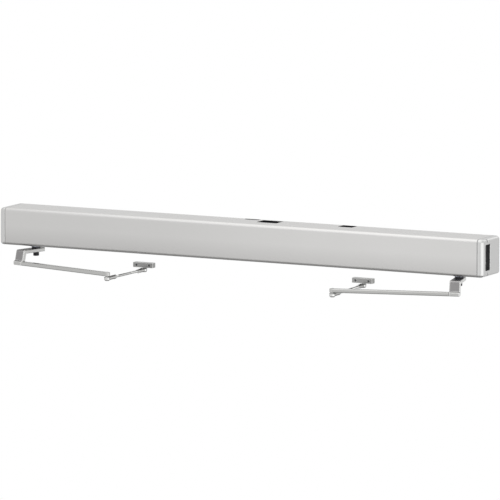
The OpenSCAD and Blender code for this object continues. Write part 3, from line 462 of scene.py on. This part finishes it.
# Control tray and power supply: zinc-plated sheet steel, folded and punched.
# The supply's screw terminals stand in a black strip along its lower edge.
zinc_sheet = Finish("zinc_sheet", (0.55, 0.56, 0.57), 0.35, 1.0)
zinc_sheet.tint(zinc_sheet.noise(0.012, detail=1.0), 0.86, 1.1)
zinc_sheet.on("control_tray")
supply_case = Finish("supply_case", (0.55, 0.56, 0.57), 0.35)
supply_case.tint(supply_case.noise(0.012, detail=1.0), 0.86, 1.1)
STRIP_BACK, STRIP_FACE, SUPPLY_PITCH = -0.0512, -52, 15
strip = supply_case.along(1) < STRIP_BACK
supply_case.paint(strip, (0.02, 0.02, 0.022, 1))
supply_case.feed("Metallic", 1 - strip)
supply_case.on("power_supply")
screw_zinc = Finish("screw_zinc", (0.55, 0.55, 0.54), 0.3, 1.0)
screw_zinc.tint(screw_zinc.noise(0.002), 0.85, 1.1)
supply_low = np.array(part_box("power_supply")[0]) * 1000
terminal_head = turned([(0, 0), (2.4, 0), (2.4, 3.2), (2.0, 3.6), (1.1, 3.6), (1.1, 2.4), (0, 2.4)],
                       12, hexed=(4, 5))
piece("supply_screws", "header",
      [(placed(terminal_head, (supply_low[0] + 20 + SUPPLY_PITCH * i, supply_low[1] + 5, STRIP_FACE),
               (0, -1, 0)), screw_zinc) for i in range(9)])

# Control board: a green board on four posts with relays, capacitors, a row of
# plug-in terminals, a transformer, a finned heat sink, lamps and small switches.
board_green = Finish("board_green", (0.02, 0.16, 0.07), 0.3, Coat_Weight=0.5)
traces = board_green.node("ShaderNodeTexBrick", {}, Vector=board_green.place((1, 0, 1)), out="Fac",
                          Scale=160.0, Mortar_Size=0.08, Mortar_Smooth=0.2)
board_green.tint(board_green.noise(0.006), 0.8, 1.2)
board_green.paint(traces * 0.5, (0.05, 0.30, 0.13, 1))
relay_blue = Finish("relay_blue", (0.02, 0.07, 0.22), 0.35)
relay_blue.bump(relay_blue.noise(0.001), 0.00003)
chip_black = Finish("chip_black", (0.02, 0.02, 0.02), 0.5)
chip_black.bump(chip_black.noise(0.0005), 0.00003)
tin = Finish("tin", (0.60, 0.60, 0.58), 0.35, 1.0)
tin.tint(tin.noise(0.001), 0.85, 1.1)
sleeve = Finish("sleeve", (0.03, 0.04, 0.10), 0.3)
sleeve.bump(sleeve.noise(0.003), 0.00003)
foil = Finish("foil", (0.70, 0.70, 0.69), 0.25, 1.0)
foil.tint(foil.noise(0.001), 0.9, 1.05)
plug_green = Finish("plug_green", (0.04, 0.30, 0.10), 0.45)
plug_green.bump(plug_green.noise(0.001), 0.00003)
nylon = Finish("nylon", (0.62, 0.60, 0.54), 0.5)
nylon.bump(nylon.noise(0.001), 0.00003)
coil_tape = Finish("coil_tape", (0.55, 0.42, 0.06), 0.4)
coil_tape.tint(coil_tape.noise(0.004), 0.9, 1.1)
sink_black = Finish("sink_black", (0.025, 0.025, 0.027), 0.4, 0.6)
sink_black.bump(sink_black.noise(0.001, (1, 1, 0.05)), 0.00004)
lamp_green = Finish("lamp_green", (0.05, 0.5, 0.1), 0.15)
lamp_green.bump(lamp_green.noise(0.003), 0.00002)
lamp_red = Finish("lamp_red", (0.5, 0.03, 0.02), 0.15)
lamp_red.bump(lamp_red.noise(0.003), 0.00002)
BOARD_X0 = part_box("control_board")[0][0] * 1000 + 16
BOARD_FACE = -26.6


def on_board(rings, a=0.0, b=0.0, h=0.0):
    """Rings drawn flat (x along the header, y up, z out of the board), moved to
    (a, b) at height h above the board's face."""
    return placed(rings + (a, b, h), (BOARD_X0, BOARD_FACE, 0), (0, -1, 0))


# The board itself, its posts and their screws.
board = [(on_board(slab(rounded((0, -50), (260, 50), 3), -1.6, 0)), board_green)]
post = turned([(0, -11.6), (3, -11.6), (3, -1.6), (0, -1.6)], 12, hexed=(1, 2))
head = turned([(0, 0), (3, 0), (3, 1.2), (2, 2.2), (1.2, 2.2), (1.2, 1), (0, 1)], 12, hexed=(4, 5))
board += [(on_board(form, a, b), tin) for form in (post, head)
          for a in (6, 254) for b in (-44, 44)]
# Four relays and three capacitors.
board += [(on_board(brick((0, 0, 0.6), (16, 20, 16), 0.7), 16 + 22 * i, 18), relay_blue)
          for i in range(4)]
can = turned([(0, 0), (9, 0), (9, 1.5), (8.4, 2.3), (9, 3.1), (9, 25), (8.5, 25.8), (7.6, 26), (0, 25.5)])
lid = turned([(0, 25), (7.4, 25), (7.4, 25.7), (0, 25.7)])
board += [(on_board(form, 130 + 24 * i, 26), finish)
          for i in range(3) for form, finish in ((can, sleeve), (lid, foil))]
# Nine plug-in terminals of four clamps each, with their wire holes.
clamp = turned([(0, 9), (1.7, 9), (1.7, 11), (0.9, 11), (0.9, 10.2), (0, 10.2)], 12, hexed=(3, 4))
for i in range(9):
    board.append((on_board(brick((0, 0, 0), (20, 12, 10.4), 0.6), 12 + 26 * i, -46), plug_green))
    board += [(on_board(clamp, 14.5 + 26 * i + 5 * k, -38), tin) for k in range(4)]
    board += [(on_board(brick((-1.6, -0.3, 3), (1.6, 1, 7.5), 0.4), 14.5 + 26 * i + 5 * k, -46.1),
               chip_black) for k in range(4)]
# The controller chip with its legs along all four sides.
board.append((on_board(brick((0, 0, 0.8), (20, 20, 3), 0.3), 62, -14), chip_black))
leg_x = brick((-0.5, -0.3, 0), (2, 0.3, 1.2), 0.15)
leg_y = brick((-0.3, -0.5, 0), (0.3, 2, 1.2), 0.15)
board += [(on_board(leg_x, a, -12.5 + 1.9 * k), tin) for k in range(10) for a in (60.5, 82)]
board += [(on_board(leg_y, 63.5 + 1.9 * k, b), tin) for k in range(10) for b in (-15.5, 6)]
# The transformer, then the heat sink with its fins and three power transistors.
board += [(on_board(brick((0, -15, 0), (32, 15, 20), 1), 14, -7), sink_black),
          (on_board(brick((3, -11, 8), (29, 11, 24), 2), 14, -7), coil_tape)]
board.append((on_board(brick((0, -24, 0), (36, 44, 4), 0.4), 214), sink_black))
board += [(on_board(brick((0, -24, 3.5), (2, 44, 20), 0.4), 214 + 5.6 * i), sink_black)
          for i in range(7)]
board += [(on_board(brick((-5, -8, 0), (-0.5, 8, 15), 0.4), 213.5, 10 + 24 * k), chip_black)
          for k in (-1, 0, 1)]
# Lamps, small switches, small parts and the plugs of the cables.
lamp = turned([(0, 0), (2.5, 0), (2.5, 2), (2.2, 3), (1.4, 3.7), (0, 4)], 16)
board += [(on_board(lamp, 150 + 9 * i, -16), lamp_red if i == 3 else lamp_green) for i in range(4)]
board.append((on_board(brick((0, 0, 0), (30, 8, 5.4), 0.3), 104, -18), relay_blue))
board += [(on_board(brick((-1, -1.6, 5), (1, 0.6, 6), 0.2), 107 + 3.4 * i, -14), nylon)
          for i in range(8)]
small = np.array([(92, -6), (92, 0), (98, -6), (98, 0), (110, 0), (116, 0), (122, 0), (146, 4),
                  (152, 4), (158, 4), (164, 4), (188, -6), (188, 0), (196, -6), (196, 0)])
board += [(on_board(brick((-2, -0.8, 0), (2, 0.8, 0.9), 0.15), a, b), chip_black) for a, b in small]
board.append((on_board(brick((-16, -6, 0), (4, 10, 8.9), 0.8)), nylon))
board += [(on_board(brick((256, z - 7, 0), (276, z + 7, 8.9), 0.8)), nylon) for z in (2, -18, -38)]
piece("board_assembly", "header", board, ["control_board"])

# Terminal block: six rail-mounted mains terminals in grey, blue for neutral
# and green for earth, each with a clamping screw at both ends.
terminal_plastic = Finish("terminal_plastic", (0.42, 0.43, 0.43), 0.5)
terminal_plastic.bump(terminal_plastic.noise(0.001), 0.00004)
TERMINAL_PITCH, TERMINAL_EDGE, TERMINAL_FACE = 11.5, 1.2, -31.5
terminal_low = np.array(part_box("terminal_block")[0]) * 1000
pitches = terminal_plastic.along(0) * (1000 / TERMINAL_PITCH)
number = terminal_plastic.node("ShaderNodeMath", {"operation": "FLOOR"},
                               pitches - (terminal_low[0] + TERMINAL_EDGE) / TERMINAL_PITCH)
cycle = terminal_plastic.node("ShaderNodeMath", {"operation": "FLOORED_MODULO"}, number, 3.0)
for which, color in ((1, (0.03, 0.12, 0.42, 1)), (2, (0.08, 0.32, 0.06, 1))):
    same = terminal_plastic.node("ShaderNodeMath", {"operation": "COMPARE"}, cycle, float(which), 0.2)
    terminal_plastic.paint(same, color)
terminal_plastic.on("terminal_block")
piece("terminal_screws", "header",
      [(placed(terminal_head, (terminal_low[0] + 7 + TERMINAL_PITCH * i, TERMINAL_FACE, z), (0, -1, 0)),
        screw_zinc) for i in range(6) for z in (-42, -16)])


# Wiring: round PVC cables along the channel's rib, a motor cable to each side,
# a lead to the switches and short leads at the supply, held by nylon ties.
def rounded_off(points, rounds=3):
    """Cuts every corner of a route: a side from p to q is left from
    p + (q - p) / 4 to q - (q - p) / 4, and both ends of the route stay."""
    path = np.array(points, float)
    for _ in range(rounds):
        step = (path[1:] - path[:-1]) / 4
        cut = np.stack([path[:-1] + step, path[1:] - step], 1).reshape(-1, 3)
        path = np.vstack([path[:1], cut, path[-1:]])
    return path


def tube(path, radius, up, sides=16):
    """Rings across a path with direction t: each runs through
    p + r (cos a s + sin a s x t), where s is t x up."""
    path = np.array(path, float)
    t = np.gradient(path, axis=0)
    t /= np.linalg.norm(t, axis=1, keepdims=True)
    s = np.cross(t, up)
    s /= np.linalg.norm(s, axis=1, keepdims=True)
    u = np.cross(s, t)
    turn = (np.arange(sides) * 2 * math.pi / sides)[None, :, None]
    reach = np.reshape(radius, (-1, 1, 1))
    return path[:, None] + reach * (np.cos(turn) * s[:, None] + np.sin(turn) * u[:, None])


sheath = Finish("sheath", (0.02, 0.02, 0.02), 0.42)
sheath.bump(sheath.noise(0.004), 0.0001)
grey_sheath = Finish("grey_sheath", (0.20, 0.20, 0.21), 0.42)
grey_sheath.bump(grey_sheath.noise(0.004), 0.0001)
LOOM_Y, LOOM_Z, PLUG_Y = -11.5, 62, -31
UP, FLAT = (0.01, 0.02, 1), (0.01, 1, 0.02)
routes = [
    # Left motor, right motor and switches.
    ([(-851.2, LOOM_Y, LOOM_Z), (-700, LOOM_Y, LOOM_Z), (-450, LOOM_Y, LOOM_Z), (-262, LOOM_Y, LOOM_Z),
      (-246, -13, 60), (-236, -16, 52), (-231, -20, 40), (-229, -25, 26), (-229, -29, 13),
      (-226, -31, 5), (-221, PLUG_Y, 2), (-214, PLUG_Y, 2)], 3.5, FLAT, sheath),
    ([(74, PLUG_Y, 2), (82, PLUG_Y, 2), (89, -29, 6), (93, -25, 16), (97, -20, 32),
      (101, -16, 46), (107, -13, 57), (120, LOOM_Y, LOOM_Z), (300, LOOM_Y, LOOM_Z),
      (640, LOOM_Y, LOOM_Z), (851.2, LOOM_Y, LOOM_Z)], 3.5, FLAT, sheath),
    ([(74, PLUG_Y, -18), (84, PLUG_Y, -18), (94, -28, -15), (102, -22, -6), (108, -15, 5),
      (114, -10.5, 15), (122, -9, 21), (136, -9, 22), (400, -9, 22), (700, -9, 22), (1016, -9, 22),
      (1030, -13, 22), (1038, -24, 21), (1040, -45, 19), (1040, -75, 15), (1041, -92, 12),
      (1046, -102, 10), (1051, -105, 10), (1057, -105, 10)], 3, UP, grey_sheath),
    # Board to terminal block, and terminal block to supply.
    ([(74, PLUG_Y, -38), (86, PLUG_Y, -38), (98, -33, -41), (110, -33, -41),
      (122, PLUG_Y, -38), (130, PLUG_Y, -38)], 3, UP, sheath),
    ([(290, -26, -30), (296, -26, -30), (305, -24, -32), (314, -26, -30), (322, -26, -30)], 3, UP,
     sheath)]
piece("wiring", "header",
      [(tube(rounded_off(points), radius, up), finish) for points, radius, up, finish in routes],
      ["wiring_loom"])
band = turned([(3.5, -1.3), (4.3, -1.3), (4.3, 1.3), (3.5, 1.3)])
lock = brick((-2, -1.8, 3.6), (2, 2.6, 7.2), 0.4)
tail = brick((-1.2, 1.6, 4.2), (1.2, 13, 5.2), 0.3)
ties = []
for x in (-800, -620, -430, -290, 160, 270, 480, 640, 800):
    spot = ((x, LOOM_Y, LOOM_Z), (0, 0, -1))
    ties.append((placed(band, spot[0], (1, 0, 0), (0, 1, 0)), nylon, True))
    ties += [(placed(form, *spot), nylon) for form in (lock, tail)]
piece("cable_ties", "header", ties)

# Screws: socket screws with a black-oxide finish. Eight hold the two gear cases
# to the channel, and one under each spindle clamps its gooseneck.
black_oxide = Finish("black_oxide", (0.03, 0.03, 0.033), 0.38, 0.9)
black_oxide.tint(black_oxide.noise(0.003), 0.7, 1.4)
black_oxide.on("drive_screws", "left_arm_screw", "right_arm_screw")

# Drive units: cast aluminium gear cases, ground and hobbed steel gears, bright
# drawn spring tubes, and motors with a black can between two cast end bells. A
# round-wire spring stands behind each rack; the real one shortens as the door opens,
# and this one is built at its rest length on no body.
COLLAR_TOP = -0.0758
CAN_FOOT, CAN_TOP = 0.016, 0.058
cast = Finish("cast", (0.42, 0.43, 0.44), 0.5, 0.9)
cast.tint(cast.noise(0.01), 0.9, 1.1)
cast.bump(cast.noise(0.0012), 0.0002)
case_cast = Finish("case_cast", (0.42, 0.43, 0.44), 0.5, 0.9)
case_cast.tint(case_cast.noise(0.01), 0.9, 1.1)
case_cast.paint(case_cast.along(2) < COLLAR_TOP, (0.40, 0.42, 0.48, 1))
case_cast.bump(case_cast.noise(0.0012), 0.0002)
machined = Finish("machined", (0.42, 0.42, 0.43), 0.25, 1.0)
machined.tint(machined.noise(0.004), 0.85, 1.1)
bright_tube = Finish("bright_tube", (0.45, 0.45, 0.46), 0.28, 1.0)
bright_tube.tint(bright_tube.noise(0.004, (0.05, 1, 1)), 0.9, 1.1)
spring_wire = Finish("spring_wire", (0.10, 0.10, 0.11), 0.4, 0.9)
spring_wire.tint(spring_wire.noise(0.004), 0.7, 1.3)
enamel = Finish("enamel", (0.42, 0.43, 0.44), 0.4)
enamel.tint(enamel.noise(0.01), 0.9, 1.1)
can_band = (enamel.along(2) > CAN_FOOT) * (enamel.along(2) < CAN_TOP)
enamel.paint(can_band, (0.03, 0.03, 0.033, 1))
enamel.feed("Metallic", 0.9 - can_band * 0.9)
enamel.bump(enamel.noise(0.002), 0.00005)
blackened = Finish("blackened", (0.05, 0.05, 0.055), 0.34, 1.0)
blackened.tint(blackened.noise(0.005), 0.7, 1.3)
lid_screw = turned([(0, 0), (4.25, 0), (4.25, 4.4), (3.8, 5), (2.3, 5), (2.3, 2.4), (0, 2.4)], 18,
                   hexed=(4, 5))
SIDES = {"left_": -1, "right_": 1}
SPRING_WIRE, SPRING_TURNS = 5, 13
CASE_LID, BELL_TOP, BOSS_FOOT, BELL_BOLT = 6, 63, 66, 17.68
LID_SCREWS = [(-51, -22), (-51, -65), (-51, -137.5), (46, -22), (143, -22), (143, -65), (100, -138)]
bell_screw = turned([(0, 0), (2.1, 0), (2.1, 3.4), (1.7, 3.8), (1.1, 3.8), (1.1, 2.4), (0, 2.4)], 12,
                    hexed=(4, 5))
bell_boss = turned([(0, 0), (12, 0), (12, 1.2), (11.2, 2), (6, 2), (6, 1), (0, 1)])


def coil(low, high, wire, turns, sides=12, steps=28):
    """Spring along x in the box from low to high: its wire's centre runs through
    (x, r cos a, r sin a) about the box's axis. The first and last turns lie closed."""
    turn = np.arange(turns * steps + 1) / steps
    shut = 1.04 * wire
    first, last = low[0] + wire / 2, high[0] - wire / 2
    x = np.interp(turn, [0, 1, turns - 1, turns], [first, first + shut, last - shut, last])
    r = (high[2] - low[2] - wire) / 2
    middle = (low + high) / 2
    path = np.stack([x, middle[1] + r * np.cos(2 * math.pi * turn),
                     middle[2] + r * np.sin(2 * math.pi * turn)], -1)
    return tube(path, wire / 2, (1, 0, 0), sides)


for side, way in SIDES.items():
    spindle = pivot(side + "spindle_turn")
    motor = pivot(side + "motor_turn")
    screws = [(placed(lid_screw, (spindle[0] - way * x, y, CASE_LID)), black_oxide)
              for x, y in LID_SCREWS]
    screws += [(placed(bell_screw, motor + (x, y, BELL_TOP)), black_oxide)
               for x in (-BELL_BOLT, BELL_BOLT) for y in (-BELL_BOLT, BELL_BOLT)]
    screws.append((placed(bell_boss, motor + (0, 0, BOSS_FOOT)), machined))
    piece(side + "case_screws", "header", screws)
    low, high = (np.array(v) * 1000 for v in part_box(side + "closing_spring"))
    spring = piece(side + "coil_spring", None,
                   [(coil(low, high, SPRING_WIRE, SPRING_TURNS), spring_wire)],
                   [side + "closing_spring"])
    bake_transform(spring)
    case_cast.on(side + "gear_case")
    cast.on(side + "upper_case")
    machined.on(side + "spring_rack", side + "output_gear", side + "closer_pinion",
                side + "cluster_gear", side + "motor_pinion")
    bright_tube.on(side + "spring_tube", side + "spindle_bearings")
    enamel.on(side + "motor")
    blackened.on(side + "output_spindle")

# Arms: goosenecks and shoes cast and painted a dark silver, with painted
# highlights along the edges; the goosenecks' flanks carry a painted highlight and
# their feet are painted a lighter grey; bars drawn and plated. Flanks are found by
# their distance across a gooseneck, which rests turned 15 degrees.
def painted_edge_highlights(finish, radius, color):
    """Paints highlights on edges: the mask is 1 - n . b for the true normal n and the normal
    b that the Bevel node averages over `radius`, and it is full from 0.022 on."""
    soft = finish.node("ShaderNodeBevel", {"samples": 6}, Radius=radius)
    true = finish.node("ShaderNodeNewGeometry", out="True Normal")
    match = finish.node("ShaderNodeVectorMath", {"operation": "DOT_PRODUCT"}, soft, true, out="Value")
    finish.paint((1 - match).above(0.002, 0.02), color)


NECK_HALF, FOOT_TOP = 0.0212, -0.1335
spindle_x, spindle_y = pivot("right_spindle_turn")[:2] / 1000
rest_turn = math.radians(15)
neck_paint = Finish("neck_paint", (0.265, 0.26, 0.26), 0.34, 1.0)
neck_paint.tint(neck_paint.noise(0.008), 0.94, 1.06)
across = (neck_paint.node("ShaderNodeMath", {"operation": "ABSOLUTE"}, neck_paint.along(0))
          - spindle_x) * math.cos(rest_turn) + (neck_paint.along(1) - spindle_y) * math.sin(rest_turn)
# Painted highlight: both flanks of a gooseneck, beyond NECK_HALF across it, are painted a light grey.
painted_flank_highlight = neck_paint.node("ShaderNodeMath", {"operation": "ABSOLUTE"}, across) > NECK_HALF
neck_paint.paint(painted_flank_highlight, (0.56, 0.56, 0.55, 1))
# The feet, below FOOT_TOP, are painted a lighter grey.
neck_paint.paint(neck_paint.along(2) < FOOT_TOP, (0.46, 0.46, 0.45, 1))
# Painted highlights along the gooseneck's edges.
painted_edge_highlights(neck_paint, 0.0035, (0.78, 0.78, 0.77, 1))
neck_paint.bump(neck_paint.noise(0.002), 0.00003)
shoe_paint = Finish("shoe_paint", (0.30, 0.30, 0.295), 0.34, 1.0)
shoe_paint.tint(shoe_paint.noise(0.008), 0.94, 1.06)
# Painted highlights along the shoe's edges.
painted_edge_highlights(shoe_paint, 0.0025, (0.60, 0.60, 0.59, 1))
shoe_paint.bump(shoe_paint.noise(0.002), 0.00003)
bar_plate = Finish("bar_plate", (0.46, 0.46, 0.45), 0.26, 1.0)
bar_plate.tint(bar_plate.noise(0.006, (0.1, 0.1, 1)), 0.94, 1.06)
bright_zinc = Finish("bright_zinc", (0.62, 0.62, 0.61), 0.16, 1.0, Specular_Tint=(0.12, 0.12, 0.12, 1))
bright_zinc.tint(bright_zinc.noise(0.004), 0.88, 1.08)


# Forearms: a threaded rod between two ball sockets, with a lock nut at the
# elbow. The rod is cut with a 1.5 mm thread at both ends and plain between. A
# wire clip round each socket keeps its ball stud in.
def threaded(start, end, radius, cuts, pitch=1.5, depth=0.9, sides=20):
    """Rod along x. Its radius is r - d c(x) (1 + cos 2 pi (x / pitch - a / 2 pi)) / 2,
    where c is 1 inside the spans in `cuts` and falls to 0 over 3 mm outside."""
    x = np.unique(np.concatenate([[start, start + 1, end - 1, end]] + [
        np.arange(low - 3, high + 3, pitch / 5) for low, high in cuts]).clip(start, end))
    a = np.arange(sides) * 2 * math.pi / sides
    cut = sum(np.clip((x - low) / 3 + 1, 0, 1) * np.clip((high - x) / 3 + 1, 0, 1)
              for low, high in cuts)
    wave = (1 + np.cos(2 * math.pi * (x[:, None] / pitch) - a)) / 2
    reach = radius - depth * cut[:, None] * wave
    reach[[0, -1]] -= 1
    return np.stack([x[:, None] + 0 * reach, reach * np.cos(a), reach * np.sin(a)], -1)


ROD_R, CLIP_R, NUT_FROM_ELBOW = 5, 12.05, 58.2
ROD_FROM_ELBOW, ROD_FROM_SHOE = 24.5, 22
THREAD_FROM_ELBOW, THREAD_FROM_SHOE = 84, 110
nut = turned([(5.1, 0), (8, 0), (9.25, 0.8), (9.25, 6.2), (8, 7), (5.1, 7)], hexed=(2, 3))
clip_loop = [(22, 0, 8.95), (21, 4, 8.4), (17, 8.4, 6.2), (10, 10.6, 4.2)]
clip_arc = [(CLIP_R * math.cos(a), CLIP_R * math.sin(a), 4.2)
            for a in np.radians(np.linspace(70, 290, 12))]
clip_route = clip_loop + clip_arc + [(x, -y, z) for x, y, z in clip_loop[:0:-1]]
for side in SIDES:
    elbow, shoe = pivot(side + "elbow_swing"), pivot(side + "shoe_swing")
    length = np.linalg.norm(shoe - elbow)
    towards = (shoe - elbow) / length
    start, end = ROD_FROM_ELBOW, length - ROD_FROM_SHOE
    cuts = [(start, THREAD_FROM_ELBOW), (length - THREAD_FROM_SHOE, end)]
    rod = placed(threaded(start, end, ROD_R, cuts), elbow, (0, 0, 1), towards)
    piece(side + "rod", side + "forearm", [(rod, bright_zinc)],
          [side + "forearm_rod"], crease=60)
    piece(side + "lock_nut", side + "forearm",
          [(placed(nut, elbow + towards * NUT_FROM_ELBOW, towards, (0, 0, 1)), bright_zinc, True)])
    wire = tube(clip_route, 0.9, (0.05, 0.03, 1), 8)
    for name, body, origin, right in (("elbow_clip", "forearm", elbow, towards),
                                      ("shoe_clip", "forearm_end", shoe, -towards)):
        piece(side + name, side + body,
              [(placed(wire, origin, (0, 0, 1), right), bright_zinc, True)])
    neck_paint.on(side + "gooseneck")
    shoe_paint.on(side + "door_shoe")
    bar_plate.on(side + "main_arm")
    bright_zinc.on(side + "elbow_stud", side + "elbow_socket", side + "shoe_socket",
                   side + "shoe_stud")

# Shoe screws: two countersunk socket screws in each door shoe, with a dark
# zinc finish. Their heads are flush with the shoe's face.
zinc_black = Finish("zinc_black", (0.13, 0.13, 0.13), 0.35, 1.0)
zinc_black.tint(zinc_black.noise(0.003), 0.7, 1.3)
flat_head = turned([(0, -18), (2.6, -18), (2.6, -3.2), (5.5, -0.4), (5.5, -0.1), (1.9, -0.1),
                    (1.9, -2.6), (0, -2.6)], 24, hexed=(5, 6))
for side in SIDES:
    shoe = pivot(side + "shoe_swing")
    piece(side + "shoe_screws", side + "shoe",
          [(placed(flat_head, shoe + (x, -13, 20), (0, -1, 0)), zinc_black) for x in (-29, 29)])
